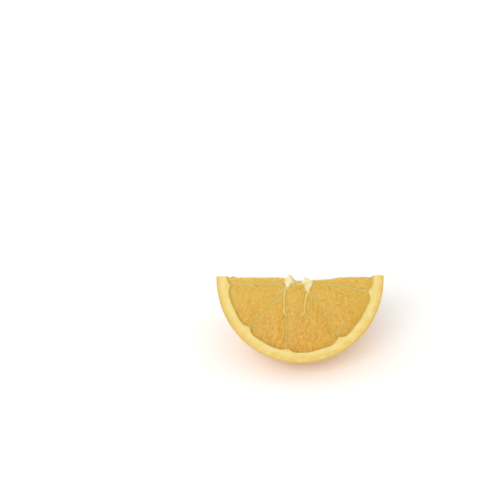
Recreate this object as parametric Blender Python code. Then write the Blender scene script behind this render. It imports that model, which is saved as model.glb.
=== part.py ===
"""A quarter of an orange, resting on its skin.

The fruit was cut once across its middle and then once lengthwise, just beside the core.
The crosswise cut faces the front and the lengthwise cut faces the back, each 45 degrees
from upright, and the round skin joins them below. The quarter is one closed solid.

Fruit coordinates, in metres:
    across  along the edge that both cuts share
    axial   from the crosswise cut towards the fruit's pole
    inward  from the lengthwise cut into the flesh
"""

import math

import bmesh
import bpy
import numpy as np
from mathutils import Vector
from mathutils.geometry import delaunay_2d_cdt

MM = 0.001

# Outer shape of the fruit.
SIDE_RADIUS = 38.1 * MM
DEEP_RADIUS = 39.5 * MM
POLE_HEIGHT = 37.5 * MM
DIMPLE_DEPTH = 0.9 * MM
DIMPLE_RADIUS = 5.0 * MM
REST_FLATTENING = 0.5 * MM

# Peel and segments, as both cuts show them.
PEEL_WIDTH = 4.8 * MM
POLE_PEEL_WIDTH = 6.5 * MM
PITH_POINT_REACH = 1.4 * MM
PITH_POINT_WIDTH = 2.0 * MM
FLESH_RECESS = 0.6 * MM
FLESH_SWELL = 0.6 * MM
RECESS_SLOPE = 1.2 * MM
SWELL_SLOPE = 4.8 * MM

# Each membrane runs straight from the pith round the core to the peel. Both its ends are
# given as angles round the core's middle, 0 straight down and negative to the left.
MEMBRANE_ANGLES_DEG = ((-78.0, -85.8), (-60.0, -45.5), (-50.0, -8.3), (48.0, 34.8), (80.0, 80.2))
MEMBRANE_START = 6.2 * MM

# Hollow core: a groove along the lengthwise cut, closed before it reaches the pole.
CORE_ACROSS = -0.8 * MM
CORE_INWARD = 1.6 * MM
CORE_HALF_WIDTH = 2.7 * MM
CORE_DEPTH = 3.6 * MM
CORE_STRAIGHT_LENGTH = 25.0 * MM
PITH_LINING = 1.0 * MM

# The flesh beside the core has sunk a little along the shared edge.
SAG_DEPTH = 1.3 * MM
SAG_ACROSS = 8.0 * MM
SAG_WIDTH = 8.0 * MM
EDGE_FADE = 4.0 * MM

# Spacing of the faceted surface.
FACE_SPACING = 1.7 * MM
SKIN_SPACING = 2.2 * MM
CORE_ARC_STEPS = 10
CORE_ROW_SPACING = 1.7 * MM
CORE_END_STEPS = 4
LATTICE_CLEARANCE = 0.6
SHARP_EDGE_DEG = 50.0

# Tolerances: points closer than this are one point, and thinner triangles aren't faces.
WELD_DISTANCE = 0.001 * MM
MERGE_MM = 1e-4
LEAST_AREA_MM2 = 1e-3

SKIN_COLOUR = (0.84, 0.41, 0.06, 1.0)
SKIN_ROUGHNESS = 0.45

HALF_TURN = math.pi
QUARTER_TURN = math.pi / 2


def smooth_step(low, high, value):
    """Rise smoothly from 0 at low to 1 at high."""
    t = np.clip((value - low) / (high - low), 0.0, 1.0)
    return t * t * (3.0 - 2.0 * t)


def outline_radius(turn):
    """Radius of the crosswise outline; turn is 0 at the left end and pi at the right end."""
    return SIDE_RADIUS + (DEEP_RADIUS - SIDE_RADIUS) * np.sin(turn) ** 2


def skin_point(turn, rise):
    """Point of the skin; rise is 0 at the crosswise cut and pi/2 at the pole."""
    radius = outline_radius(turn) * np.cos(rise)
    dimple = DIMPLE_DEPTH * np.exp(-((radius / DIMPLE_RADIUS) ** 2))
    axial = POLE_HEIGHT * np.sin(rise) - dimple
    return np.stack([-radius * np.cos(turn), axial, radius * np.sin(turn)], axis=-1)


def steps(length, spacing):
    """Number of equal steps of about the given spacing."""
    return max(2, round(length / spacing))


def arc_angles(count):
    """Angles across the hollow core, from its left lip to its right lip."""
    return np.linspace(-QUARTER_TURN, QUARTER_TURN, count + 1)


# ---------------------------------------------------------------- flat patches


def distance_to_chain(points, chain):
    """Distance of each point to a chain of straight pieces."""
    nearest = np.full(len(points), np.inf)
    for start, end in zip(chain[:-1], chain[1:]):
        along = end - start
        share = np.clip((points - start) @ along / (along @ along), 0.0, 1.0)
        offset = points - (start + share[:, None] * along)
        nearest = np.minimum(nearest, np.hypot(offset[:, 0], offset[:, 1]))
    return nearest


def inside_outline(points, outline):
    """Which points lie inside a closed outline, by counting the sides to their right."""
    inside = np.zeros(len(points), dtype=bool)
    for start, end in zip(outline, np.roll(outline, -1, axis=0)):
        crosses = (start[1] > points[:, 1]) != (end[1] > points[:, 1])
        rise = end[1] - start[1]
        if rise != 0.0:
            where = start[0] + (points[:, 1] - start[1]) / rise * (end[0] - start[0])
            inside ^= crosses & (points[:, 0] < where)
    return inside


def lattice(outline, spacing):
    """Rows of points in a triangular lattice that covers the outline's box."""
    low = outline.min(axis=0)
    high = outline.max(axis=0)
    row_height = spacing * math.sqrt(3.0) / 2.0
    points = []
    for row in range(math.ceil((high[1] - low[1]) / row_height)):
        offset = spacing / 2.0 if row % 2 else 0.0
        across = np.arange(low[0] + offset, high[0], spacing)
        points.append(np.column_stack([across, np.full(len(across), low[1] + row * row_height)]))
    return np.concatenate(points)


def fill_patch(outline, lines, spacing):
    """Triangulate a flat patch along its outline and inner lines. Works in millimetres."""
    outline = np.asarray(outline) / MM
    lines = [np.asarray(line) / MM for line in lines]
    spacing = spacing / MM
    clear = LATTICE_CLEARANCE * spacing
    inner = lattice(outline, spacing)
    keep = inside_outline(inner, outline)
    for chain in [np.vstack([outline, outline[:1]])] + lines:
        keep &= distance_to_chain(inner, chain) > clear
    points = [outline] + lines + [inner[keep]]
    edges = [(i, (i + 1) % len(outline)) for i in range(len(outline))]
    first = len(outline)
    for line in lines:
        edges += [(first + i, first + i + 1) for i in range(len(line) - 1)]
        first += len(line)
    flat = [Vector(point) for point in np.concatenate(points)]
    found, _, triangles, *_ = delaunay_2d_cdt(flat, edges, [], 0, MERGE_MM, False)
    found = np.array([tuple(point) for point in found])
    triangles = np.array(triangles)
    corners = found[triangles]
    side_1 = corners[:, 1] - corners[:, 0]
    side_2 = corners[:, 2] - corners[:, 0]
    area = np.abs(side_1[:, 0] * side_2[:, 1] - side_1[:, 1] * side_2[:, 0]) / 2.0
    wanted = (area > LEAST_AREA_MM2) & inside_outline(corners.mean(axis=1), outline)
    return found * MM, triangles[wanted]


# ---------------------------------------------------------------- shared border lines


def left_edge():
    """Shared edge of the two cuts, from the core's left lip to the skin."""
    lip = CORE_ACROSS - CORE_HALF_WIDTH
    return np.linspace(lip, -SIDE_RADIUS, steps(SIDE_RADIUS + lip, FACE_SPACING) + 1)


def right_edge():
    """Shared edge of the two cuts, from the skin to the core's right lip."""
    lip = CORE_ACROSS + CORE_HALF_WIDTH
    return np.linspace(SIDE_RADIUS, lip, steps(SIDE_RADIUS - lip, FACE_SPACING) + 1)


def outline_turns():
    """Turns at which the crosswise outline is sampled, from left to right."""
    return np.linspace(0.0, HALF_TURN, steps(HALF_TURN * DEEP_RADIUS, FACE_SPACING) + 1)


def meridian_rises():
    """Rises at which the lengthwise outline is sampled, from the crosswise cut to the pole."""
    return np.linspace(0.0, QUARTER_TURN, steps(QUARTER_TURN * POLE_HEIGHT, FACE_SPACING) + 1)


def core_rows():
    """Distances from the crosswise cut at which the core's straight walls are sampled."""
    return np.linspace(0.0, CORE_STRAIGHT_LENGTH, steps(CORE_STRAIGHT_LENGTH, CORE_ROW_SPACING) + 1)


# ---------------------------------------------------------------- segments


def flesh_radius(turn):
    """Radius at which flesh meets peel on the crosswise cut, without the pith's points."""
    return outline_radius(turn) - PEEL_WIDTH


def membrane_line(start_deg, end_deg):
    """Points along a membrane on the crosswise cut, from the core's pith to the peel."""
    middle = np.array([CORE_ACROSS, CORE_INWARD])
    start_angle = math.radians(start_deg)
    end_angle = math.radians(end_deg)
    start = middle + MEMBRANE_START * np.array([math.sin(start_angle), math.cos(start_angle)])
    turn = QUARTER_TURN + end_angle
    end = middle + (flesh_radius(turn) - CORE_INWARD * math.cos(end_angle)) * np.array(
        [math.sin(end_angle), math.cos(end_angle)]
    )
    count = steps(np.hypot(*(end - start)), FACE_SPACING)
    return np.linspace(start, end, count + 1)


def crosswise_relief(across, inward):
    """Height of the crosswise cut: recessed flesh that swells within each segment."""
    turn = HALF_TURN - np.arctan2(inward, across)
    to_peel = flesh_radius(turn) - np.hypot(across, inward)
    core_share = np.hypot((across - CORE_ACROSS) / CORE_HALF_WIDTH, inward / CORE_DEPTH)
    to_core = (core_share - 1.0) * CORE_HALF_WIDTH - PITH_LINING
    points = np.column_stack([across, inward])
    to_membrane = np.full(len(points), np.inf)
    for angles in MEMBRANE_ANGLES_DEG:
        line = membrane_line(*angles)
        to_membrane = np.minimum(to_membrane, distance_to_chain(points, line[[0, -1]]))
    pith_point = PITH_POINT_REACH * np.exp(-((to_membrane / PITH_POINT_WIDTH) ** 2))
    to_pith = np.minimum(to_peel - pith_point, to_core)
    recess = FLESH_RECESS * smooth_step(0.0, RECESS_SLOPE, to_pith)
    swell = FLESH_SWELL * smooth_step(0.0, SWELL_SLOPE, np.minimum(to_membrane, to_pith))
    return swell - recess


def lengthwise_relief(across, axial):
    """Height of the lengthwise cut: two long segments, one on each side of the core."""
    radius = np.maximum(np.hypot(across, axial), MM)
    share_of_skin = np.hypot(across / SIDE_RADIUS, axial / POLE_HEIGHT)
    skin_radius = radius / np.maximum(share_of_skin, MM / SIDE_RADIUS)
    toward_pole = np.clip(axial / radius, 0.0, 1.0)
    peel = PEEL_WIDTH + (POLE_PEEL_WIDTH - PEEL_WIDTH) * toward_pole**4
    to_peel = skin_radius - radius - peel
    past_end = np.maximum(axial - CORE_STRAIGHT_LENGTH, 0.0)
    to_core = np.hypot(across - CORE_ACROSS, past_end) - CORE_HALF_WIDTH - PITH_LINING
    to_border = np.minimum(to_peel, to_core)
    recess = FLESH_RECESS * smooth_step(0.0, RECESS_SLOPE, to_border)
    swell = FLESH_SWELL * smooth_step(0.0, SWELL_SLOPE, to_border)
    sag_shape = np.exp(-(((across - SAG_ACROSS) / SAG_WIDTH) ** 2))
    sag = SAG_DEPTH * sag_shape * (1.0 - smooth_step(0.0, POLE_HEIGHT, axial))
    return swell - recess - sag * smooth_step(0.0, PITH_LINING, to_border)


def add_relief(points):
    """Move the points of both cuts out of their planes; the moves fade behind each cut."""
    across, axial, inward = points.T
    front = 1.0 - smooth_step(0.0, EDGE_FADE, axial)
    top = 1.0 - smooth_step(0.0, EDGE_FADE, inward)
    moved = points.copy()
    moved[:, 1] -= crosswise_relief(across, inward) * front
    moved[:, 2] -= lengthwise_relief(across, axial) * top
    return moved


# ---------------------------------------------------------------- surface patches


def crosswise_patch():
    """The half-disc that the crosswise cut shows."""
    turns = outline_turns()
    radius = outline_radius(turns)
    rim = np.column_stack([-radius * np.cos(turns), radius * np.sin(turns)])
    left = np.column_stack([left_edge(), np.zeros(len(left_edge()))])
    right = np.column_stack([right_edge(), np.zeros(len(right_edge()))])
    arc = arc_angles(CORE_ARC_STEPS)[::-1]
    lip = np.column_stack([CORE_ACROSS + CORE_HALF_WIDTH * np.sin(arc), CORE_DEPTH * np.cos(arc)])
    outline = np.concatenate([left[:-1], rim[:-1], right[:-1], lip[:-1]])
    inner = flesh_radius(turns)[2:-2]
    peel_line = np.column_stack([-inner * np.cos(turns[2:-2]), inner * np.sin(turns[2:-2])])
    membranes = [membrane_line(*angles)[:-1] for angles in MEMBRANE_ANGLES_DEG]
    flat, triangles = fill_patch(outline, [peel_line] + membranes, FACE_SPACING)
    return np.column_stack([flat[:, 0], np.zeros(len(flat)), flat[:, 1]]), triangles


def lengthwise_patch():
    """The half-disc that the lengthwise cut shows, with the core's slot in it."""
    rises = meridian_rises()
    left_rim = skin_point(0.0 * rises, rises)[:, :2]
    right_rim = skin_point(HALF_TURN + 0.0 * rises, rises)[::-1, :2]
    right_rim[0] = left_rim[-1]
    left = np.column_stack([left_edge(), np.zeros(len(left_edge()))])
    right = np.column_stack([right_edge(), np.zeros(len(right_edge()))])
    right_lip = CORE_ACROSS + CORE_HALF_WIDTH
    left_lip = CORE_ACROSS - CORE_HALF_WIDTH
    rows = core_rows()
    up = np.column_stack([np.full(len(rows), right_lip), rows])
    down = np.column_stack([np.full(len(rows), left_lip), rows[::-1]])
    arc = arc_angles(CORE_ARC_STEPS)[::-1]
    end_across = CORE_ACROSS + CORE_HALF_WIDTH * np.sin(arc)
    end = np.column_stack([end_across, CORE_STRAIGHT_LENGTH + CORE_DEPTH * np.cos(arc)])
    borders = [left, left_rim, right_rim, right, up, end, down]
    outline = np.concatenate([border[:-1] for border in borders])
    flat, triangles = fill_patch(outline, [], FACE_SPACING)
    return np.column_stack([flat[:, 0], flat[:, 1], np.zeros(len(flat))]), triangles


def skin_patch():
    """The round skin, laid out flat around the pole to place its points evenly."""
    turns = outline_turns()
    length = QUARTER_TURN * POLE_HEIGHT
    spread = length * (1.0 - meridian_rises() / QUARTER_TURN)
    rim = np.column_stack([-length * np.cos(turns), length * np.sin(turns)])
    right = np.column_stack([spread, np.zeros(len(spread))])
    left = np.column_stack([-spread[::-1], np.zeros(len(spread))])
    outline = np.concatenate([rim[:-1], right[:-1], left[:-1]])
    flat, triangles = fill_patch(outline, [], SKIN_SPACING)
    turn = HALF_TURN - np.arctan2(np.maximum(flat[:, 1], 0.0), flat[:, 0])
    rise = QUARTER_TURN * (1.0 - np.hypot(flat[:, 0], flat[:, 1]) / length)
    return skin_point(turn, rise), triangles


def core_patch():
    """Walls of the hollow core and its rounded end, as rows of four-sided faces."""
    arc = arc_angles(CORE_ARC_STEPS)
    across = CORE_ACROSS + CORE_HALF_WIDTH * np.sin(arc)
    rows = []
    for axial in core_rows():
        rows.append(np.column_stack([across, np.full(len(arc), axial), CORE_DEPTH * np.cos(arc)]))
    for step in range(1, CORE_END_STEPS + 1):
        lean = QUARTER_TURN * step / CORE_END_STEPS
        axial = CORE_STRAIGHT_LENGTH + CORE_DEPTH * np.cos(arc) * math.sin(lean)
        inward = CORE_DEPTH * np.cos(arc) * math.cos(lean)
        rows.append(np.column_stack([across, axial, inward]))
    width = len(arc)
    faces = []
    for row in range(len(rows) - 1):
        for column in range(width - 1):
            first = row * width + column
            faces.append((first, first + 1, first + 1 + width, first + width))
    return np.concatenate(rows), faces


# ---------------------------------------------------------------- the quarter


def resting_point():
    """Height of the shared edge above the lowest skin, and that skin's place in the fruit."""
    height = math.sqrt((DEEP_RADIUS**2 + POLE_HEIGHT**2) / 2.0)
    inward = DEEP_RADIUS**2 / (math.sqrt(2.0) * height)
    axial = POLE_HEIGHT**2 / (math.sqrt(2.0) * height)
    return height, axial, inward


def stand_up(points):
    """Turn fruit coordinates to the resting pose, with the skin flattened where it rests."""
    height, axial, inward = resting_point()
    half = math.sqrt(0.5)
    x = points[:, 0]
    y = half * ((points[:, 1] - axial) - (points[:, 2] - inward))
    z = height - REST_FLATTENING - half * (points[:, 1] + points[:, 2])
    return np.column_stack([x, y, np.maximum(z, 0.0)])


def quarter_mesh(name):
    """Weld the four patches into one closed mesh, then add relief and stand it up."""
    form = bmesh.new()
    for points, faces in (crosswise_patch(), lengthwise_patch(), skin_patch(), core_patch()):
        corners = [form.verts.new(point) for point in points]
        for face in faces:
            form.faces.new([corners[index] for index in face])
    bmesh.ops.remove_doubles(form, verts=form.verts, dist=WELD_DISTANCE)
    points = np.array([tuple(vertex.co) for vertex in form.verts])
    points = stand_up(add_relief(points))
    for vertex, point in zip(form.verts, points):
        vertex.co = point
    form.normal_update()
    bmesh.ops.recalc_face_normals(form, faces=form.faces)
    mesh = bpy.data.meshes.new(name)
    form.to_mesh(mesh)
    form.free()
    mesh.shade_smooth()
    mesh.set_sharp_from_angle(angle=math.radians(SHARP_EDGE_DEG))
    return mesh


def fruit_material():
    """One plain finish for the solid, in the colour of orange skin."""
    material = bpy.data.materials.new("orange_skin")
    material.use_nodes = True
    shader = material.node_tree.nodes["Principled BSDF"]
    shader.inputs["Base Color"].default_value = SKIN_COLOUR
    shader.inputs["Roughness"].default_value = SKIN_ROUGHNESS
    shader.inputs["Metallic"].default_value = 0.0
    return material


def main():
    for old in list(bpy.data.objects):
        bpy.data.objects.remove(old, do_unlink=True)
    mesh = quarter_mesh("orange_wedge")
    mesh.materials.append(fruit_material())
    wedge = bpy.data.objects.new("orange_wedge", mesh)
    bpy.context.scene.collection.objects.link(wedge)


main()
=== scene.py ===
"""A wedge of orange on a pale table: rind, pith, membranes, juice sacs and hollow core.

The wedge is a quarter of the fruit. It was cut once across the middle and once lengthwise,
just beside the core. Every piece is worked out in fruit coordinates, in millimetres:

    across  along the edge that both cuts share
    axial   from the crosswise cut towards the fruit's pole
    inward  from the lengthwise cut into the flesh

and is then stood up as the wedge rests, in metres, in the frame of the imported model.
"""

import math

import bmesh
import bpy
import numpy as np
from mathutils import Matrix, Vector
from mathutils.geometry import delaunay_2d_cdt
from mathutils.kdtree import KDTree


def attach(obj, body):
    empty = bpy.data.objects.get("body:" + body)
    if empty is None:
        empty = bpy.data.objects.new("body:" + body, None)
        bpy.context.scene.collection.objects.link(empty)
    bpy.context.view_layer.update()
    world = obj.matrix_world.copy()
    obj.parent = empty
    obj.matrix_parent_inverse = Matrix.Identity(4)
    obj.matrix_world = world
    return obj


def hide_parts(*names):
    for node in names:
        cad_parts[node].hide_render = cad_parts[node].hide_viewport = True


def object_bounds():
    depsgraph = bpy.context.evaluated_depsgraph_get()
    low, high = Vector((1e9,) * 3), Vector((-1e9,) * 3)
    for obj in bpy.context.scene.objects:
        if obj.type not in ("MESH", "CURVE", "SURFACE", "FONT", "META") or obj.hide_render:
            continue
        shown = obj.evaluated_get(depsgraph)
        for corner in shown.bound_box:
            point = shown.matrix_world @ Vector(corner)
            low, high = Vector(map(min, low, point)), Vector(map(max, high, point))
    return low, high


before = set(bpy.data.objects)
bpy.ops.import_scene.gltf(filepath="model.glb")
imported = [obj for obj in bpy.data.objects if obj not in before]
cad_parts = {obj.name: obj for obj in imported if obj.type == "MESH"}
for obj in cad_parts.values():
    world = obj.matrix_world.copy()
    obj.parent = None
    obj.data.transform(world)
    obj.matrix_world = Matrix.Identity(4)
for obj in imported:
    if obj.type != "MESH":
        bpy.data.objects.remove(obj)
cad_low, cad_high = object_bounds()

bl_info = {
    "name": "Orange Wedge",
    "version": (1, 0, 0),
    "blender": (4, 5, 0),
    "location": "View3D > Sidebar > Orange Wedge",
    "description": "Builds a wedge of orange with rind, pith, membranes and juice sacs",
    "category": "Add Mesh",
}

NODE = "orange_wedge"
BODY = "root"
METRE_PER_MM = 0.001

HALF_TURN = math.pi
QUARTER_TURN = math.pi / 2.0

# Outer shape of the fruit, in mm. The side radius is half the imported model's length.
SIDE_RADIUS = (cad_high.x - cad_low.x) / METRE_PER_MM / 2.0
DEEP_RADIUS = 39.5
POLE_HEIGHT = 37.5
DIMPLE_DEPTH = 0.9
DIMPLE_RADIUS = 5.0
REST_FLATTENING = 0.5

# Layers of the peel, in mm.
RIND_THICKNESS = 0.85
PEEL_WIDTH = 4.8
POLE_PEEL_WIDTH = 6.5
CAVITY_HEIGHT = POLE_HEIGHT - POLE_PEEL_WIDTH
CAVITY_END = math.radians(80.0)

# Pith points in between the segments, in mm, and elsewhere its border wavers: each ripple
# has its height, how often it comes in a radian and its shift.
PITH_POINT_REACH = 1.5
PITH_POINT_WIDTH = 2.0
PITH_RIPPLES = ((0.12, 9.0, 0.6), (0.09, 23.0, 0.0))

# Oil glands of the rind, in mm: how far they stray, their sizes and how wide one dents it.
GLAND_SCATTER = 0.3
GLAND_SIZES = (0.5, 1.2)
GLAND_WIDTH = 0.42
GLAND_LEAST_WIDTH = 0.12
GLAND_MARGIN = 1.5
SKIN_DEPTH = 0.02

# Membranes, as angles round the core's middle where they start and where they end.
MEMBRANE_ANGLES_DEG = (
    (-78.0, -85.8), (-60.0, -45.5), (-50.0, -8.3), (48.0, 34.8), (80.0, 80.2),
)
MEMBRANE_START = 6.2
MEMBRANE_BOW = (0.0, 0.5, -0.7, 0.6, 0.3)
MEMBRANE_THICKNESS = 0.36
MEMBRANE_HEIGHT = 0.1
MEMBRANE_WAVER = 0.12
DRY_MEMBRANES = (0, 4)

# Hollow core and the column of pith round it, in mm.
CORE_ACROSS = -0.8
CORE_INWARD = 1.6
CORE_HALF_WIDTH = 2.7
CORE_DEPTH = 3.6
CORE_STRAIGHT_LENGTH = 25.0
CORE_LINING = 1.0
CORE_PITH_LENGTH = 31.2
CORE_PITH_SIDE = 1.75
CORE_PITH_FLOOR = 0.9
CORE_PITH_FLARE = 1.1
CORE_MOUTH_LENGTH = 9.0
COLUMN_RADIUS = 3.9
COLUMN_MOUTH_SWELL = 0.4
COLUMN_MOUTH_LENGTH = 6.0

# Relief of the two cuts, in mm.
FLESH_RECESS = 0.6
FLESH_SWELL = 0.5
RECESS_SLOPE = 0.9
SWELL_SLOPE = 4.8
EDGE_RECESS = 1.1
EDGE_RECESS_SLOPE = 1.4
EDGE_FADE = 4.0
EDGE_LIP = 0.18
EDGE_LIP_WIDTH = 0.3
SAG_DEPTH = 1.3
SAG_ACROSS = 8.6
SAG_WIDTH = 8.0
TUFT_ACROSS = -30.6
TUFT_HEIGHT = 0.7
TUFT_WIDTH = 1.7
TUFT_LENGTH = 2.4
TUFT_DEPTH = 3.0
PITH_SWELL = 0.08
PITH_SLOPE = 0.7

# The core's pith on the crosswise cut: its border with the flesh, as (across, inward).
CORE_BORDER = (
    (-7.0, 0.0), (-7.1, 2.0), (-6.9, 3.6), (-6.4, 4.9), (-5.8, 5.9), (-5.3, 5.7), (-4.8, 4.7),
    (-4.1, 3.8), (-3.3, 3.0), (-2.3, 3.3), (-0.8, 4.02), (0.5, 3.6), (1.3, 3.3), (2.0, 4.3),
    (2.5, 6.0), (3.2, 7.2), (4.0, 7.5), (4.9, 6.4), (5.7, 4.6), (6.1, 2.4), (5.9, 0.0),
)
CORE_BORDER_REACH = 6.2
CORE_BORDER_SPREAD = 0.015
INNER_POINTS = ((1.2, 3.05), (-0.8, 3.9), (-2.8, 2.95), (-4.2, 3.5))
LEFT_INNER_END = -6.6
RIGHT_INNER_END = 5.4

# Knobs of pith beside the core's mouth, in mm.
KNOB_HEIGHT = 0.75
KNOB_TUFT = 0.75
KNOB_TUFT_ACROSS = -5.0
KNOB_DROP = 0.8
KNOB_DROP_ACROSS = 3.6
CORE_STRIP_HEIGHT = 0.25

# Random relief of the surfaces, in mm: heights, lengths of a hump and seeds.
RIND_RELIEF = ((0.10, 8.0, 21), (0.05, 2.6, 22))
PITH_RELIEF = ((0.07, 1.0, 31), (0.09, 2.6, 32))
CORE_RELIEF = ((0.20, 1.1, 41), (0.14, 0.6, 42))
CORE_STRIP_RELIEF = ((0.16, 1.3, 43),)
GROOVE_ACROSS_RELIEF = ((0.18, 1.8, 44),)
GROOVE_INWARD_RELIEF = ((0.18, 1.8, 45),)
EDGE_FRONT_RELIEF = ((0.12, 1.1, 7),)
EDGE_TOP_RELIEF = ((0.22, 1.6, 8),)
FIBRE_RELIEF = ((0.05, 0.8, 51),)

# Juice sacs. Lengths are in mm, spreads are shares of a sac's size, and the heights of a
# sac's dome, groove, lift and grain are shares of the relief.
SAC_TRIES = 30.0
SAC_GAP = 1.35
SAC_HEADING_SCATTER = 0.16
SAC_GROWTH_START = 8.0
SAC_GROWTH_END = 30.0
SAC_INNER_LENGTH = 0.62
SAC_GROWTH = 0.5
SAC_SPREAD = (0.75, 1.25)
SAC_BEND = 0.28
SAC_BEND_LENGTH = 1.7
SAC_DOME = 0.9
SAC_GROOVE = 0.35
SAC_GROOVE_WIDTH = 0.2
SAC_LIFT = 0.45
SAC_GRAIN = 0.35
SAC_GRAIN_LENGTH = 0.8
SAC_WALL_WIDTH = 0.16
SAC_RIM_FADE = 0.5
SAC_TOP_CENTRE = (CORE_ACROSS, -8.0)
SAC_VALUES = ("sac_wall", "sac_tone", "sac_along", "sac_aside")

# Fibres over the flesh: points (across, inward), their widths and the height, in mm.
FIBRES = (
    (
        ((-5.9, 3.0), (-6.3, 4.6), (-6.9, 8.6), (-6.9, 14.1), (-7.2, 16.0), (-5.8, 18.2)),
        (2.0, 1.4, 0.95, 0.9, 1.3, 0.3),
        0.3,
    ),
    (
        ((-6.3, 4.2), (-7.7, 5.9), (-9.9, 8.1), (-13.2, 11.4), (-14.9, 15.2)),
        (1.0, 0.8, 0.65, 0.5, 0.2),
        0.18,
    ),
    (
        ((3.9, 5.8), (3.9, 7.2), (2.5, 10.8), (2.2, 14.0), (2.2, 16.2), (0.6, 19.0)),
        (2.0, 1.4, 0.9, 0.8, 1.3, 0.3),
        0.3,
    ),
    (((2.2, 15.6), (3.2, 17.6), (4.4, 19.6)), (0.7, 0.5, 0.2), 0.15),
    (((4.6, 6.6), (5.4, 9.4), (5.5, 12.4), (3.9, 16.9)), (0.7, 0.45, 0.4, 0.2), 0.12),
    (((0.9, 11.2), (0.2, 14.2), (-1.6, 18.0)), (0.3, 0.45, 0.2), 0.12),
)
FIBRE_SIDES = 12
FIBRE_SINK = 0.12

# Camera: where the middle of the straight edge is, and how the camera looks at it.
STRAIGHT_EDGE_MIDDLE = (0.0, 0.002, 0.038)
CAMERA_ANGLE_DEG = 25.7
CAMERA_DISTANCE = 0.498
CAMERA_HEADING_DEG = 3.5
CAMERA_RISE_DEG = 40.0
CAMERA_ROLL_DEG = -2.6
CAMERA_TURN_DEG = 2.59
CAMERA_TILT_DEG = 1.36

# Light and table, in metres.
ROOM_STRENGTH = 0.94
LAMP_SIZE = 1.0
LAMP_POWER = 6.0
LAMP_PLACE = (-0.45, -0.85, 0.95)
TABLE_SIZE = 6.0
TABLE_DROP = 0.0002

WELD_MM = 0.0005
MERGE_MM = 1e-4
LEAST_AREA_MM2 = 1e-6
LATTICE_CLEARANCE = 0.55

# How finely the surfaces are divided, in mm.
SAC_SPACING = 0.24
EDGE_SPACING = 0.25
BORDER_SPACING = 0.5
PITH_SPACING = 0.32
KNOB_SPACING = 0.22
CORE_SPACING = 0.3
CORE_WALL_SPACING = 1.0
FIBRE_SPACING = 0.3
SKIN_SPACING = 0.42
HIDDEN_SPACING = 2.0
MEMBRANE_SPACING = 0.16
RIND_ROWS = 3
GROOVE_SIDES = 24


# ---------------------------------------------------------------- plain functions


def in_mm(length):
    """A length in metres, told in millimetres."""
    return length / METRE_PER_MM


def smooth_step(low, high, value):
    """Rise smoothly from 0 at low to 1 at high."""
    t = np.clip((value - low) / (high - low), 0.0, 1.0)
    return t * t * (3.0 - 2.0 * t)


def bump(value, middle, width):
    """A soft hump of height 1."""
    return np.exp(-(((value - middle) / width) ** 2))


def waves(points, length, seed):
    """Smooth random ups and downs between about -1 and 1, with humps of about that length."""
    rng = np.random.default_rng(seed)
    total = np.zeros(len(points))
    count = 7
    for _ in range(count):
        heading = rng.normal(size=points.shape[1])
        heading *= QUARTER_TURN * rng.uniform(0.7, 1.5) / length / np.linalg.norm(heading)
        total += np.sin(points @ heading + rng.uniform(0.0, 2.0 * HALF_TURN))
    return total * math.sqrt(2.0 / count) / 1.6


def relief(points, layers):
    """Random heights at points, summed over layers of (height, length of a hump, seed)."""
    return sum(height * waves(points, length, seed) for height, length, seed in layers)


def steps(length, spacing):
    """Number of equal steps of about the given spacing."""
    return max(1, round(length / spacing))


def line(start, end, spacing):
    """Points from start to end, both included."""
    start = np.asarray(start, dtype=float)
    end = np.asarray(end, dtype=float)
    return np.linspace(start, end, steps(np.linalg.norm(end - start), spacing) + 1)


def lengths_along(chain):
    """How far along a chain each of its points lies."""
    return np.concatenate([[0.0], np.cumsum(np.linalg.norm(np.diff(chain, axis=0), axis=1))])


def distance_to_chain(points, chain):
    """Distance of each point to a chain of straight pieces."""
    nearest = np.full(len(points), np.inf)
    for start, end in zip(chain[:-1], chain[1:]):
        along = end - start
        share = np.clip((points - start) @ along / max(along @ along, MERGE_MM**2), 0.0, 1.0)
        offset = points - (start + share[:, None] * along)
        nearest = np.minimum(nearest, np.hypot(offset[:, 0], offset[:, 1]))
    return nearest


def inside_outline(points, outline):
    """Which points lie inside a closed outline, by counting the sides to their right."""
    inside = np.zeros(len(points), dtype=bool)
    for start, end in zip(outline, np.roll(outline, -1, axis=0)):
        rise = end[1] - start[1]
        if rise != 0.0:
            crosses = (start[1] > points[:, 1]) != (end[1] > points[:, 1])
            where = start[0] + (points[:, 1] - start[1]) / rise * (end[0] - start[0])
            inside ^= crosses & (points[:, 0] < where)
    return inside


def lattice(outline, spacing):
    """Points of a triangular lattice that covers the outline's box."""
    low = outline.min(axis=0)
    high = outline.max(axis=0)
    row_height = spacing * math.sqrt(3.0) / 2.0
    points = []
    for row in range(math.ceil((high[1] - low[1]) / row_height)):
        offset = spacing / 2.0 if row % 2 else 0.0
        across = np.arange(low[0] + offset, high[0], spacing)
        upward = np.full(len(across), low[1] + row * row_height)
        points.append(np.column_stack([across, upward]))
    return np.concatenate(points)


def fill_patch(outline, spacing=None):
    """Triangulate a flat patch, with a lattice inside it where a spacing is given."""
    outline = np.asarray(outline, dtype=float)
    points = outline
    if spacing is not None:
        inner = lattice(outline, spacing)
        keep = inside_outline(inner, outline)
        chain = np.vstack([outline, outline[:1]])
        inner = inner[keep]
        clear = distance_to_chain(inner, chain) > LATTICE_CLEARANCE * spacing
        points = np.concatenate([outline, inner[clear]])
    edges = [(i, (i + 1) % len(outline)) for i in range(len(outline))]
    flat = [Vector(point) for point in points]
    found, _, triangles, *_ = delaunay_2d_cdt(flat, edges, [], 0, MERGE_MM, False)
    found = np.array([tuple(point) for point in found])
    triangles = np.array(triangles)
    corners = found[triangles]
    side_1 = corners[:, 1] - corners[:, 0]
    side_2 = corners[:, 2] - corners[:, 0]
    area = np.abs(side_1[:, 0] * side_2[:, 1] - side_1[:, 1] * side_2[:, 0]) / 2.0
    wanted = (area > LEAST_AREA_MM2) & inside_outline(corners.mean(axis=1), outline)
    return found, triangles[wanted].tolist()


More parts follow.
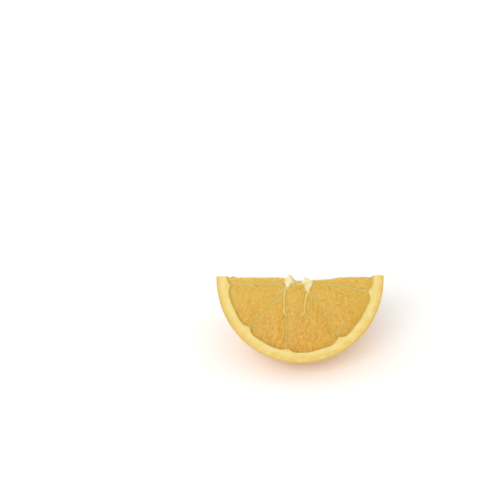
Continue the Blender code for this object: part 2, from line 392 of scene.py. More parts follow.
def grid_faces(rows, columns, first=0):
    """Four-sided faces of a grid whose points are listed row by row."""
    faces = []
    for row in range(rows - 1):
        for column in range(columns - 1):
            corner = first + row * columns + column
            faces.append((corner, corner + 1, corner + 1 + columns, corner + columns))
    return faces


def on_crosswise_cut(flat, axial=0.0):
    """Put (across, inward) points on the crosswise cut, or that far behind it."""
    return np.column_stack([flat[:, 0], np.full(len(flat), axial), flat[:, 1]])


def on_lengthwise_cut(flat):
    """Put (across, axial) points on the lengthwise cut."""
    return np.column_stack([flat[:, 0], flat[:, 1], np.zeros(len(flat))])


def cut_patch(place, outline, spacing):
    """A patch on one of the two cuts, as points and faces."""
    found, faces = fill_patch(outline, spacing)
    return place(found), faces


def on_cuts(flat):
    """Which points lie on the crosswise cut, and which on the lengthwise cut."""
    return flat[:, 1] < MERGE_MM, flat[:, 2] < MERGE_MM


# ---------------------------------------------------------------- the fruit's form


def outline_radius(turn):
    """Radius of the crosswise outline; turn is 0 at the left end and pi at the right end."""
    return SIDE_RADIUS + (DEEP_RADIUS - SIDE_RADIUS) * np.sin(turn) ** 2


def layer_point(turn, rise, below):
    """Point of the skin, or of a layer that far below it. Rise is pi/2 at the pole."""
    radius = (outline_radius(turn) - below) * np.cos(rise)
    dimple = DIMPLE_DEPTH * np.exp(-((radius / DIMPLE_RADIUS) ** 2))
    axial = (POLE_HEIGHT - below) * np.sin(rise) - dimple
    return np.stack([-radius * np.cos(turn), axial, radius * np.sin(turn)], axis=-1)


def turn_of(flat):
    """The turn at which (across, inward) points lie."""
    return HALF_TURN - np.arctan2(np.maximum(flat[:, 1], 0.0), flat[:, 0])


def turn_at(point):
    """The turn of a single (across, inward) point."""
    return HALF_TURN - math.atan2(point[1], point[0])


def membrane_ends(start_deg, end_deg):
    """Where a membrane starts in the core's pith and ends at the peel."""
    middle = np.array([CORE_ACROSS, CORE_INWARD])
    start_angle = math.radians(start_deg)
    angle = math.radians(end_deg)
    start = middle + MEMBRANE_START * np.array([math.sin(start_angle), math.cos(start_angle)])
    reach = outline_radius(QUARTER_TURN + angle) - PEEL_WIDTH - CORE_INWARD * math.cos(angle)
    return start, middle + reach * np.array([math.sin(angle), math.cos(angle)])


MEMBRANES = [membrane_ends(*angles) for angles in MEMBRANE_ANGLES_DEG]


def flesh_reach(turn):
    """Radius at which pith meets flesh on the crosswise cut, with the pith's points."""
    turn = np.asarray(turn, dtype=float)
    radius = outline_radius(turn) - PEEL_WIDTH
    reach = radius
    for height, often, shift in PITH_RIPPLES:
        reach = reach + height * np.sin(often * turn + shift)
    for _, end in MEMBRANES:
        away = (turn - turn_at(end)) * radius
        reach = reach - PITH_POINT_REACH * bump(away, 0.0, PITH_POINT_WIDTH)
    return reach


def column_reach(axial):
    """How far from the core's middle the flesh starts, along the fruit."""
    mouth = COLUMN_MOUTH_SWELL * bump(axial, 0.0, COLUMN_MOUTH_LENGTH)
    return COLUMN_RADIUS + mouth + CORE_PITH_FLARE * smooth_step(22.0, 31.0, axial)


def sweep(flat, rise):
    """Carry (across, inward) points of the flesh on the crosswise cut towards the pole."""
    core = np.array([CORE_ACROSS, 0.0])
    away = flat - core
    distance = np.linalg.norm(away, axis=1)
    ray = away / distance[:, None]
    lean = ray @ core
    outer = flat
    for _ in range(4):
        radius = flesh_reach(turn_of(outer))
        reach = -lean + np.sqrt(lean**2 - core @ core + radius**2)
        outer = core + ray * reach[:, None]
    axial = CAVITY_HEIGHT * np.sin(rise)
    start = column_reach(0.0)
    share = np.maximum(distance - start, 0.0) / (reach - start)
    share = share ** (1.0 + 0.5 * smooth_step(0.0, 10.0, axial))
    short = np.minimum(distance - start, 0.0) * (1.0 - smooth_step(0.0, 5.0, axial))
    first = core + ray * (column_reach(axial) + short)[:, None]
    carried = first + share[:, None] * (outer * np.cos(rise)[:, None] - first)
    return np.column_stack([carried[:, 0], axial, carried[:, 1]])


def sag(across, axial):
    """How far the wedge beside the core has sunk below the lengthwise cut."""
    fade = 1.0 - smooth_step(0.0, POLE_HEIGHT, axial)
    return SAG_DEPTH * bump(across, SAG_ACROSS, SAG_WIDTH) * fade


def crosswise_height(across, inward):
    """Height of the crosswise cut: recessed flesh that swells within each segment."""
    flat = np.column_stack([across, inward])
    to_peel = flesh_reach(turn_of(flat)) - np.hypot(across, inward)
    core_share = np.hypot((across - CORE_ACROSS) / CORE_HALF_WIDTH, inward / CORE_DEPTH)
    to_pith = np.minimum(to_peel, (core_share - 1.0) * CORE_HALF_WIDTH - CORE_LINING)
    to_membrane = np.full(len(flat), np.inf)
    for ends in MEMBRANES:
        to_membrane = np.minimum(to_membrane, distance_to_chain(flat, np.array(ends)))
    recess = FLESH_RECESS * smooth_step(0.0, RECESS_SLOPE, to_pith)
    swell = FLESH_SWELL * smooth_step(0.0, SWELL_SLOPE, np.minimum(to_membrane, to_pith))
    return swell - recess


def lengthwise_height(across, axial):
    """Height of the lengthwise cut: a long segment of flesh on each side of the core."""
    radius = np.maximum(np.hypot(across, axial), MERGE_MM)
    share = np.hypot(across / (SIDE_RADIUS - PEEL_WIDTH), axial / CAVITY_HEIGHT)
    to_peel = radius / np.maximum(share, MERGE_MM) - radius
    past_end = np.maximum(axial - CORE_STRAIGHT_LENGTH, 0.0)
    to_core = np.hypot(across - CORE_ACROSS, past_end) - CORE_HALF_WIDTH - CORE_LINING
    to_pith = np.minimum(to_peel, to_core)
    recess = EDGE_RECESS * smooth_step(0.0, EDGE_RECESS_SLOPE, to_pith)
    swell = FLESH_SWELL * smooth_step(0.0, SWELL_SLOPE, to_pith)
    return swell - recess


def raise_cuts(flat, front=0.0, top=0.0):
    """Give both cuts their heights, with extra heights on top; they fade behind each cut."""
    across, axial, inward = flat.T
    moved = flat.copy()
    front_fade = 1.0 - smooth_step(0.0, EDGE_FADE, axial)
    top_fade = 1.0 - smooth_step(0.0, EDGE_FADE, inward)
    moved[:, 1] -= crosswise_height(across, inward) * front_fade + front
    moved[:, 2] -= (lengthwise_height(across, axial) - sag(across, axial)) * top_fade + top
    return moved


def stand_up(points):
    """Turn fruit coordinates in mm to the resting pose, in metres."""
    height = math.sqrt((DEEP_RADIUS**2 + POLE_HEIGHT**2) / 2.0)
    inward = DEEP_RADIUS**2 / (math.sqrt(2.0) * height)
    axial = POLE_HEIGHT**2 / (math.sqrt(2.0) * height)
    half = math.sqrt(0.5)
    x = points[:, 0]
    y = half * ((points[:, 1] - axial) - (points[:, 2] - inward))
    z = height - REST_FLATTENING - half * (points[:, 1] + points[:, 2])
    return np.column_stack([x, y, np.maximum(z, 0.0)]) * METRE_PER_MM


# ---------------------------------------------------------------- pieces in general


def weld(patches):
    """Join patches, given as points and faces in mm, into one mesh form."""
    form = bmesh.new()
    for points, faces in patches:
        corners = [form.verts.new(point) for point in points]
        for face in faces:
            form.faces.new([corners[index] for index in face])
    bmesh.ops.remove_doubles(form, verts=form.verts, dist=WELD_MM)
    close_seams(form)
    form.verts.index_update()
    return form


def close_seams(form):
    """Fill the small gaps that welding leaves where a seam's points crowd together."""
    for _ in range(4):
        crowded = [edge for edge in form.edges if len(edge.link_faces) > 2]
        extra = {min(edge.link_faces, key=lambda face: face.calc_area()) for edge in crowded}
        bmesh.ops.delete(form, geom=list(extra), context="FACES")
        gaps = [edge for edge in form.edges if len(edge.link_faces) == 1]
        if not gaps:
            break
        filled = bmesh.ops.holes_fill(form, edges=gaps, sides=0)["faces"]
        bmesh.ops.triangulate(form, faces=filled)
    loose = [edge for edge in form.edges if not edge.link_faces]
    bmesh.ops.delete(form, geom=loose, context="EDGES")
    loose = [vertex for vertex in form.verts if not vertex.link_faces]
    bmesh.ops.delete(form, geom=loose, context="VERTS")


def finish_piece(name, patches, shape, material, sharp_deg=55.0):
    """Weld patches into a closed piece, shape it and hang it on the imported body.

    shape takes the flat points and gives the shaped ones and a dict of values for the
    surface, which the material reads.
    """
    form = weld(patches)
    flat = np.array([tuple(vertex.co) for vertex in form.verts])
    shaped, values = shape(flat)
    for vertex, point in zip(form.verts, stand_up(shaped)):
        vertex.co = point
    form.normal_update()
    bmesh.ops.recalc_face_normals(form, faces=form.faces)
    if form.calc_volume(signed=True) < 0.0:
        bmesh.ops.reverse_faces(form, faces=form.faces)
    mesh = bpy.data.meshes.new(name)
    form.to_mesh(mesh)
    form.free()
    for key, numbers in values.items():
        attribute = mesh.attributes.new(key, "FLOAT", "POINT")
        attribute.data.foreach_set("value", np.asarray(numbers, dtype=np.float32))
    mesh.shade_smooth()
    mesh.set_sharp_from_angle(angle=math.radians(sharp_deg))
    mesh.materials.append(material)
    piece = bpy.data.objects.new(name, mesh)
    bpy.context.scene.collection.objects.link(piece)
    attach(piece, BODY)
    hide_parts(NODE)
    return piece


# ---------------------------------------------------------------- juice sacs


def find_sacs(outline, centre, settings, seed):
    """Spread juice sacs over a cut: their places, headings, half sizes, tones and lifts."""
    length = in_mm(settings.sac_length)
    width = in_mm(settings.sac_width)
    rng = np.random.default_rng(seed)
    low = outline.min(axis=0)
    high = outline.max(axis=0)
    count = int(np.prod(high - low) * SAC_TRIES / (length * width))
    spots = rng.uniform(low, high, (count, 2))
    spots = spots[inside_outline(spots, outline)]
    away = spots - centre
    reach = np.linalg.norm(away, axis=1)
    scatter = rng.normal(0.0, SAC_HEADING_SCATTER, len(spots))
    heading = np.arctan2(away[:, 1], away[:, 0]) + scatter
    growth = SAC_INNER_LENGTH + SAC_GROWTH * smooth_step(SAC_GROWTH_START, SAC_GROWTH_END, reach)
    halves = np.column_stack([
        length / 2.0 * growth * rng.uniform(*SAC_SPREAD, len(spots)),
        width / 2.0 * rng.uniform(*SAC_SPREAD, len(spots)),
    ])
    rays = np.column_stack([np.cos(heading), np.sin(heading)])
    kept = []
    for index, spot in enumerate(spots):
        if kept:
            offset = spots[kept] - spot
            along = offset @ rays[index] / halves[index, 0]
            aside = (offset @ np.array([-rays[index, 1], rays[index, 0]])) / halves[index, 1]
            if np.hypot(along, aside).min() < SAC_GAP:
                continue
        kept.append(index)
    tone = rng.uniform(0.0, 1.0, len(kept))
    lift = rng.normal(0.0, 1.0, len(kept))
    return spots[kept], rays[kept], halves[kept], tone, lift


def sac_relief(points, sacs, depth, seed):
    """Height of the juice sacs at points of a cut, and what the material reads there."""
    places, rays, halves, tone, lift = sacs
    bend = np.column_stack([waves(points, SAC_BEND_LENGTH, seed + k) for k in range(2)])
    offset = (points + SAC_BEND * bend)[:, None, :] - places[None, :, :]
    along = offset[:, :, 0] * rays[:, 0] + offset[:, :, 1] * rays[:, 1]
    aside = offset[:, :, 1] * rays[:, 0] - offset[:, :, 0] * rays[:, 1]
    distance = np.hypot(along / halves[:, 0], aside / halves[:, 1])
    nearest = distance.argmin(axis=1)
    two = np.partition(distance, 1, axis=1)[:, :2]
    edge = (two[:, 1] - two[:, 0]) * halves[nearest, 1]
    row = np.arange(len(points))
    dome = 1.0 - np.minimum(two[:, 0], 1.3) ** 2
    height = SAC_DOME * dome - SAC_GROOVE * bump(edge, 0.0, SAC_GROOVE_WIDTH)
    height += SAC_LIFT * lift[nearest] + SAC_GRAIN * waves(points, SAC_GRAIN_LENGTH, seed + 2)
    values = {
        "sac_wall": bump(edge, 0.0, SAC_WALL_WIDTH),
        "sac_tone": tone[nearest],
        "sac_along": along[row, nearest],
        "sac_aside": aside[row, nearest],
    }
    return depth * height, values


# ---------------------------------------------------------------- outlines of the pieces


def rise_rows(spacing):
    """Steps from the crosswise cut to the top of the flesh."""
    return np.linspace(0.0, CAVITY_END, steps(SIDE_RADIUS * CAVITY_END, spacing) + 1)


def arc_points(first, last, spacing):
    """Points where pith meets flesh on the crosswise cut, between two turns."""
    count = steps(abs(last - first) * SIDE_RADIUS, spacing)
    turn = np.linspace(first, last, count + 1)
    radius = flesh_reach(turn)
    return np.column_stack([-radius * np.cos(turn), radius * np.sin(turn)])


def membrane_chain(index, side):
    """A membrane's middle line, moved to one side by half the membrane's thickness."""
    start, end = MEMBRANES[index]
    span = end - start
    share = np.linspace(0.0, 1.0, steps(np.linalg.norm(span), BORDER_SPACING) + 1)
    normal = np.array([span[1], -span[0]]) / np.linalg.norm(span)
    waver = MEMBRANE_WAVER * np.sin(14.0 * share + 2.0 * index)
    bow = (MEMBRANE_BOW[index] + waver) * np.sin(HALF_TURN * share)
    aside = bow + side * MEMBRANE_THICKNESS / 2.0
    chain = start + share[:, None] * span + aside[:, None] * normal
    turn = turn_at(chain[-1])
    chain[-1] = flesh_reach(turn) * np.array([-math.cos(turn), math.sin(turn)])
    return chain


def join(*chains):
    """Join chains end to end and leave out points that repeat."""
    points = np.concatenate(chains)
    gaps = np.linalg.norm(np.diff(points, axis=0), axis=1)
    return points[np.concatenate([[True], gaps > MERGE_MM])]


def through(*corners):
    """A chain of straight pieces through the corners."""
    return join(*[line(a, b, BORDER_SPACING) for a, b in zip(corners[:-1], corners[1:])])


def segment_chain(left, right):
    """Outline of a segment on the crosswise cut, without the part on the straight edge.

    left and right are the membranes beside it, or None for the straight edge.
    """
    if left is None:
        border = membrane_chain(right, -1.0)
        start = np.array([-flesh_reach(0.0), 0.0])
        arc = arc_points(0.0, turn_at(border[-1]), BORDER_SPACING)
        inner = line(border[0], (LEFT_INNER_END, 0.0), BORDER_SPACING)
        return join(start[None], arc, border[::-1], inner)
    if right is None:
        border = membrane_chain(left, 1.0)
        arc = arc_points(turn_at(border[-1]), HALF_TURN, BORDER_SPACING)
        inner = line((RIGHT_INNER_END, 0.0), border[0], BORDER_SPACING)
        return join(inner, border, arc)
    first = membrane_chain(left, 1.0)
    last = membrane_chain(right, -1.0)
    arc = arc_points(turn_at(first[-1]), turn_at(last[-1]), BORDER_SPACING)
    middle = INNER_POINTS if (left, right) == (2, 3) else ()
    inner = through(last[0], *middle, first[0])
    return join(first, arc, last[::-1], inner)


def swept_wall(chain, rises, carry=sweep, spacing=HIDDEN_SPACING):
    """The hidden wall that a chain on the crosswise cut leaves as it is carried to the pole."""
    lengths = lengths_along(chain)
    heights = rises * SIDE_RADIUS
    bottom = np.column_stack([lengths, np.zeros(len(lengths))])
    right = np.column_stack([np.full(len(heights), lengths[-1]), heights])
    top = np.column_stack([lengths, np.full(len(lengths), heights[-1])])
    left = np.column_stack([np.zeros(len(heights)), heights])
    outline = np.concatenate([bottom[:-1], right[:-1], top[:0:-1], left[:0:-1]])
    found, faces = fill_patch(outline, spacing)
    flat = np.column_stack([
        np.interp(found[:, 0], lengths, chain[:, 0]),
        np.interp(found[:, 0], lengths, chain[:, 1]),
    ])
    return carry(flat, found[:, 1] / SIDE_RADIUS), faces


def pole_cap(chain, rise, carry=sweep, crown=None):
    """The hidden end of a piece near the pole, with its edge on the lengthwise cut if any."""
    end = carry(chain, np.full(len(chain), rise))
    outline = end[:, [0, 2]]
    if crown is not None:
        outline = join(outline, crown * [1.0, 0.0])[:-1]
    found, faces = fill_patch(outline)
    return on_crosswise_cut(found, end[0, 1]), faces


def edge_line(point, rises, carry=sweep):
    """The line (across, axial) that a point of the straight edge leaves as it is carried."""
    return carry(np.repeat([point], len(rises), axis=0), rises)[:, :2]


# ---------------------------------------------------------------- building the pieces


def build_segment(number, left, right, settings, material):
    """One segment of flesh. left and right are the membranes beside it, or None."""
    at_edge = left is None or right is None
    rises = rise_rows(BORDER_SPACING if at_edge else HIDDEN_SPACING)
    chain = segment_chain(left, right)
    border = chain if at_edge else join(chain, chain[:1])
    outline = chain
    patches = []
    if at_edge:
        straight = line(chain[-1], chain[0], EDGE_SPACING)
        outline = np.concatenate([chain, straight[1:-1]])
        start = edge_line(chain[0], rises)
        end = edge_line(chain[-1], rises)
        top_outline = np.concatenate([straight, start[1:], end[:0:-1]])
        patches.append(cut_patch(on_lengthwise_cut, top_outline, SAC_SPACING))
        top_sacs = find_sacs(top_outline, np.array(SAC_TOP_CENTRE), settings, 40 + number)
        top_rim = np.concatenate([start, end[::-1]])
    patches.append(cut_patch(on_crosswise_cut, outline, SAC_SPACING))
    patches.append(swept_wall(border, rises))
    patches.append(pole_cap(chain, rises[-1]))
    front_sacs = find_sacs(chain, np.array([CORE_ACROSS, 0.0]), settings, number)

    def shape(flat):
        across, axial, inward = flat.T
        front = np.zeros(len(flat))
        top = np.zeros(len(flat))
        values = {key: np.zeros(len(flat)) for key in SAC_VALUES}
        on_front, on_top = on_cuts(flat)
        cuts = [(on_front, [0, 2], front, front_sacs, border)]
        if at_edge:
            cuts.append((on_top & ~on_front, [0, 1], top, top_sacs, top_rim))
        for chosen, axes, height, sacs, rim in cuts:
            points = flat[chosen][:, axes]
            depth = in_mm(settings.sac_relief)
            sac_height, sac_values = sac_relief(points, sacs, depth, 100 + number)
            to_rim = distance_to_chain(points, rim)
            height[chosen] = sac_height * smooth_step(0.0, SAC_RIM_FADE, to_rim)
            for key in SAC_VALUES:
                values[key][chosen] = sac_values[key]
        front[on_front] -= EDGE_LIP * bump(inward[on_front], 0.0, EDGE_LIP_WIDTH) * at_edge
        if left is None:
            tuft = bump(across, TUFT_ACROSS, TUFT_WIDTH) * bump(axial, 0.0, TUFT_LENGTH)
            top += TUFT_HEIGHT * tuft * (inward < TUFT_DEPTH)
        both = on_front & on_top
        to_end = np.abs(np.abs(across[both]) - flesh_reach(0.0))
        front[both] += relief(flat[both], EDGE_FRONT_RELIEF)
        top[both] += relief(flat[both], EDGE_TOP_RELIEF) * smooth_step(0.0, 1.5, to_end)
        return raise_cuts(flat, front, top), values

    return finish_piece(f"pulp_segment_{number}", patches, shape, material)


def build_membrane(index, material):
    """One membrane between two segments, standing a little proud of the flesh."""
    outline = join(membrane_chain(index, -1.0), membrane_chain(index, 1.0)[::-1])
    loop = join(outline, outline[:1])
    rises = rise_rows(HIDDEN_SPACING)
    patches = [
        cut_patch(on_crosswise_cut, outline, MEMBRANE_SPACING),
        swept_wall(loop, rises),
        pole_cap(outline, rises[-1]),
    ]

    def shape(flat):
        on_front, _ = on_cuts(flat)
        points = flat[:, [0, 2]]
        ridge = smooth_step(0.0, MEMBRANE_THICKNESS / 2.0, distance_to_chain(points, loop))
        height = MEMBRANE_HEIGHT + relief(points, ((0.08, 2.2, 60 + index),))
        height *= 0.35 + 0.65 * ridge
        from_core = np.hypot(points[:, 0] - CORE_ACROSS, points[:, 1])
        dryness = 0.3 + 0.5 * (1.0 - smooth_step(6.0, 18.0, from_core))
        if index in DRY_MEMBRANES:
            dryness = np.full(len(flat), 0.9)
        return raise_cuts(flat, height * on_front), {"dryness": dryness}

    return finish_piece(f"membrane_{index + 1}", patches, shape, material, 80.0)


def skin_outline():
    """The border of a layer of the peel, unrolled round the pole."""
    reach = QUARTER_TURN * POLE_HEIGHT
    count = steps(HALF_TURN * SIDE_RADIUS, SKIN_SPACING)
    turns = np.linspace(0.0, HALF_TURN, count + 1)
    rim = reach * np.column_stack([-np.cos(turns), np.sin(turns)])
    straight = np.linspace(reach, -reach, 2 * steps(reach, SKIN_SPACING) + 1)
    return np.concatenate([rim[:-1], np.column_stack([straight, np.zeros(len(straight))])[:-1]])


def skin_layer(below, spacing):
    """A curved layer of the peel that far below the skin."""
    found, faces = fill_patch(skin_outline(), spacing)
    distance = np.hypot(found[:, 0], found[:, 1])
    rise = QUARTER_TURN - np.minimum(distance / POLE_HEIGHT, QUARTER_TURN)
    points = layer_point(turn_of(found), rise, below)
    points[:, 1][rise < MERGE_MM] = 0.0
    points[:, 2][np.abs(found[:, 1]) < MERGE_MM] = 0.0
    return points, faces


def cut_rims(below):
    """The border of a layer of the peel on each cut: (crosswise, lengthwise)."""
    count = steps(HALF_TURN * SIDE_RADIUS, SKIN_SPACING)
    turns = np.linspace(0.0, HALF_TURN, count + 1)
    crosswise = layer_point(turns, np.zeros(len(turns)), below)[:, [0, 2]]
    reach = QUARTER_TURN * POLE_HEIGHT
    straight = np.linspace(-reach, reach, 2 * steps(reach, SKIN_SPACING) + 1)
    rise = QUARTER_TURN - np.abs(straight) / POLE_HEIGHT
    turn = np.where(straight > 0.0, HALF_TURN, 0.0)
    lengthwise = layer_point(turn, rise, below)[:, :2]
    crosswise[:, 1][[0, -1]] = 0.0
    lengthwise[:, 1][[0, -1]] = 0.0
    return crosswise, lengthwise


def band(outer, inner, rows, place):
    """A strip of the peel's cut face between two rims with the same number of points."""
    share = np.linspace(0.0, 1.0, rows + 1)[:, None, None]
    points = (outer * (1.0 - share) + inner * share).reshape(-1, 2)
    return place(points), grid_faces(rows + 1, len(outer))


def scatter_glands(settings):
    """Oil glands spread over the skin: directions from the fruit's middle, and sizes."""
    count = round(4.0 * HALF_TURN * SIDE_RADIUS**2 / in_mm(settings.pore_spacing) ** 2)
    index = np.arange(count)
    rng = np.random.default_rng(11)
    golden = HALF_TURN * (3.0 - math.sqrt(5.0))
    up = 1.0 - 2.0 * (index + 0.5) / count
    ring = np.sqrt(1.0 - up**2)
    places = np.column_stack([ring * np.cos(golden * index), up, ring * np.sin(golden * index)])
    places = places * SIDE_RADIUS + rng.normal(0.0, GLAND_SCATTER, (count, 3))
    near = (places[:, 1] > -GLAND_MARGIN) & (places[:, 2] > -GLAND_MARGIN)
    return places[near] / SIDE_RADIUS, rng.uniform(*GLAND_SIZES, near.sum())


def build_rind(settings, material):
    """The thin coloured rind with its oil glands."""
    outer_front, outer_top = cut_rims(0.0)
    inner_front, inner_top = cut_rims(RIND_THICKNESS)
    patches = [
        skin_layer(0.0, SKIN_SPACING),
        skin_layer(RIND_THICKNESS, HIDDEN_SPACING),
        band(outer_front, inner_front, RIND_ROWS, on_crosswise_cut),
        band(outer_top, inner_top, RIND_ROWS, on_lengthwise_cut),
    ]
    glands, sizes = scatter_glands(settings)
    tree = KDTree(len(glands))
    for index, gland in enumerate(glands):
        tree.insert(gland * SIDE_RADIUS, index)
    tree.balance()

    def shape(flat):
        radius = outline_radius(turn_of(flat[:, [0, 2]]))
        from_axis = np.hypot(flat[:, 0], flat[:, 2])
        dimple = DIMPLE_DEPTH * bump(from_axis, 0.0, DIMPLE_RADIUS)
        share = np.hypot(from_axis / radius, (flat[:, 1] + dimple) / POLE_HEIGHT)
        depth = (1.0 - share) * SIDE_RADIUS
        on_skin = depth < SKIN_DEPTH
        dent = np.zeros(len(flat))
        direction = flat / np.linalg.norm(flat, axis=1)[:, None]
        for vertex in np.nonzero(on_skin)[0]:
            _, found, distance = tree.find(direction[vertex] * SIDE_RADIUS)
            width = GLAND_WIDTH * sizes[found] + GLAND_LEAST_WIDTH
            dent[vertex] = sizes[found] * math.exp(-((distance / width) ** 2))
        lowered = in_mm(settings.pore_depth) * dent - relief(flat, RIND_RELIEF) * on_skin
        # The dent's depth also darkens the rind's colour: partly the glands' own colour, partly
        # painted shade in the pits.
        values = {"cut_depth": np.clip(depth / RIND_THICKNESS, 0.0, 1.0), "pore": dent}
        return raise_cuts(flat - direction * lowered[:, None]), values

    return finish_piece("rind", patches, shape, material, 50.0)


def build_pith(material):
    """The thick spongy white layer of the peel, round the cavity that the flesh fills."""
    outer_front, outer_top = cut_rims(RIND_THICKNESS)
    rises = rise_rows(BORDER_SPACING)
    arc = arc_points(0.0, HALF_TURN, BORDER_SPACING)
    arc[[0, -1], 1] = 0.0
    left = edge_line(arc[0], rises)
    right = edge_line(arc[-1], rises)
    left_foot = line(outer_front[0], arc[0], PITH_SPACING)
    right_foot = line(outer_front[-1], arc[-1], PITH_SPACING)
    crown = line(right[-1], left[-1], BORDER_SPACING)
    front = join(outer_front, right_foot, arc[::-1], left_foot[::-1])[:-1]
    top = join(outer_top, right_foot, right, crown, left[::-1], left_foot[::-1])[:-1]
    patches = [
        cut_patch(on_crosswise_cut, front, PITH_SPACING),
        cut_patch(on_lengthwise_cut, top, PITH_SPACING),
        skin_layer(RIND_THICKNESS, HIDDEN_SPACING),
        swept_wall(arc, rises),
        pole_cap(arc, rises[-1], crown=crown),
    ]

    def shape(flat):
        across, axial, inward = flat.T
        on_front, on_top = on_cuts(flat)
        round_axis = (across**2 + inward**2) / SIDE_RADIUS**2
        share = np.sqrt(round_axis + (axial / POLE_HEIGHT) ** 2)
        depth = (1.0 - share) * SIDE_RADIUS - RIND_THICKNESS
        inside = smooth_step(0.0, PITH_SLOPE, depth)
        sponge = (relief(flat, PITH_RELIEF) + PITH_SWELL * inside) * inside
        values = {"pith_depth": np.clip(depth / (PEEL_WIDTH - RIND_THICKNESS), 0.0, 1.0)}
        return raise_cuts(flat, sponge * on_front, sponge * on_top), values

    return finish_piece("pith", patches, shape, material)


def core_section(flat, rise):
    """Carry the border of the core's pith towards the pole, where it narrows to a tube."""
    axial = rise * SIDE_RADIUS
    share = smooth_step(0.0, CORE_MOUTH_LENGTH, axial)
    angle = np.arctan2(flat[:, 0] - CORE_ACROSS, np.maximum(flat[:, 1], 0.0))
    flare = CORE_PITH_FLARE * smooth_step(22.0, 30.0, axial)
    half_width = CORE_HALF_WIDTH + CORE_PITH_SIDE + flare
    # Points further out stay a little further out, so the border can't fold onto itself.
    reach = np.hypot(flat[:, 0] - CORE_ACROSS, flat[:, 1])
    spaced = 1.0 + CORE_BORDER_SPREAD * (reach - CORE_BORDER_REACH)
    tube = np.column_stack([
        CORE_ACROSS + half_width * np.sin(angle) * spaced,
        (CORE_DEPTH + CORE_PITH_FLOOR) * np.cos(angle) * spaced,
    ])
    tube[:, 1][flat[:, 1] <= 0.0] = 0.0
    carried = flat * (1.0 - share)[:, None] + tube * share[:, None]
    return np.column_stack([carried[:, 0], axial, carried[:, 1]])


def core_groove():
    """The open hollow of the core: a half tube with a rounded end."""
    end = CORE_HALF_WIDTH * np.sin(np.linspace(0.0, QUARTER_TURN, 9))[1:-1]
    straight = line([0.0], [CORE_STRAIGHT_LENGTH], BORDER_SPACING)[:, 0]
    axial = np.concatenate([straight, CORE_STRAIGHT_LENGTH + end])
    past = np.maximum(axial - CORE_STRAIGHT_LENGTH, 0.0) / CORE_HALF_WIDTH
    size = np.sqrt(1.0 - past**2)
    columns = GROOVE_SIDES + 1
    angle = np.linspace(-QUARTER_TURN, QUARTER_TURN, columns)
    rows = []
    for along, scale in zip(axial, size):
        row = np.column_stack([
            CORE_ACROSS + CORE_HALF_WIDTH * scale * np.sin(angle),
            np.full(columns, along),
            CORE_DEPTH * scale * np.cos(angle),
        ])
        row[[0, -1], 2] = 0.0
        rows.append(row)
    tip = [CORE_ACROSS, CORE_STRAIGHT_LENGTH + CORE_HALF_WIDTH, 0.0]
    points = np.vstack([*rows, tip])
    last = len(points) - 1 - columns
    faces = grid_faces(len(rows), columns)
    faces += [(last + k, last + k + 1, len(points) - 1) for k in range(columns - 1)]
    return points, faces


def build_core_pith(material):
    """The pith round the hollow core, with a thick knob on each side of its mouth."""
    groove, groove_faces = core_groove()
    tip = groove[-1:, :2]
    left = groove[: -1 : GROOVE_SIDES + 1, :2]
    right = groove[GROOVE_SIDES : -1 : GROOVE_SIDES + 1, :2]
    mouth = groove[: GROOVE_SIDES + 1, [0, 2]]
    corners = np.array(CORE_BORDER)
    border = join(*[line(a, b, PITH_SPACING) for a, b in zip(corners[:-1], corners[1:])])
    count = steps(CORE_PITH_LENGTH, BORDER_SPACING)
    rises = np.linspace(0.0, CORE_PITH_LENGTH / SIDE_RADIUS, count + 1)
    foot_left = line(mouth[0], border[0], PITH_SPACING)
    foot_right = line(border[-1], mouth[-1], PITH_SPACING)
    outer_left = edge_line(border[0], rises, core_section)
    outer_right = edge_line(border[-1], rises, core_section)
    crown = line(outer_left[-1], outer_right[-1], BORDER_SPACING)
    front = join(border, foot_right, mouth[::-1], foot_left)[:-1]
    top = join(
        foot_left, outer_left, crown, outer_right[::-1], foot_right, right, tip, left[::-1],
    )[:-1]
    patches = [
        cut_patch(on_crosswise_cut, front, KNOB_SPACING),
        (groove, groove_faces),
        cut_patch(on_lengthwise_cut, top, CORE_SPACING),
        swept_wall(border, rises, core_section, CORE_WALL_SPACING),
        pole_cap(border, rises[-1], core_section, crown[::-1]),
    ]

    def shape(flat):
        across, axial, _ = flat.T
        on_front, on_top = on_cuts(flat)
        section = flat[:, [0, 2]]
        to_border = distance_to_chain(section, border)
        to_mouth = distance_to_chain(section, mouth[::3])
        ragged = relief(flat, CORE_RELIEF)
        swell = smooth_step(0.0, 0.9, np.minimum(to_border, to_mouth))
        front = (KNOB_HEIGHT * swell + ragged) * smooth_step(0.0, 0.3, to_border + 0.05)
        tuft = KNOB_TUFT * bump(across, KNOB_TUFT_ACROSS, 1.6) * bump(axial, 0.0, 2.2)
        drop = KNOB_DROP * bump(across, KNOB_DROP_ACROSS, 1.9) * bump(axial, 0.0, 3.0)
        strip = CORE_STRIP_HEIGHT + relief(flat, CORE_STRIP_RELIEF)
        top = strip * smooth_step(4.0, 8.0, axial) + tuft + ragged - drop
        moved = raise_cuts(flat, front * on_front, top * on_top)
        near = (to_mouth < 0.3) & (axial < CORE_STRAIGHT_LENGTH + 2.0)
        wrinkled = (near & ~on_front & ~on_top) * smooth_step(1.0, 5.0, axial)
        moved[:, 0] += wrinkled * relief(flat, GROOVE_ACROSS_RELIEF)
        moved[:, 2] += wrinkled * relief(flat, GROOVE_INWARD_RELIEF)
        return moved, {}

    return finish_piece("core_pith", patches, shape, material, 75.0)


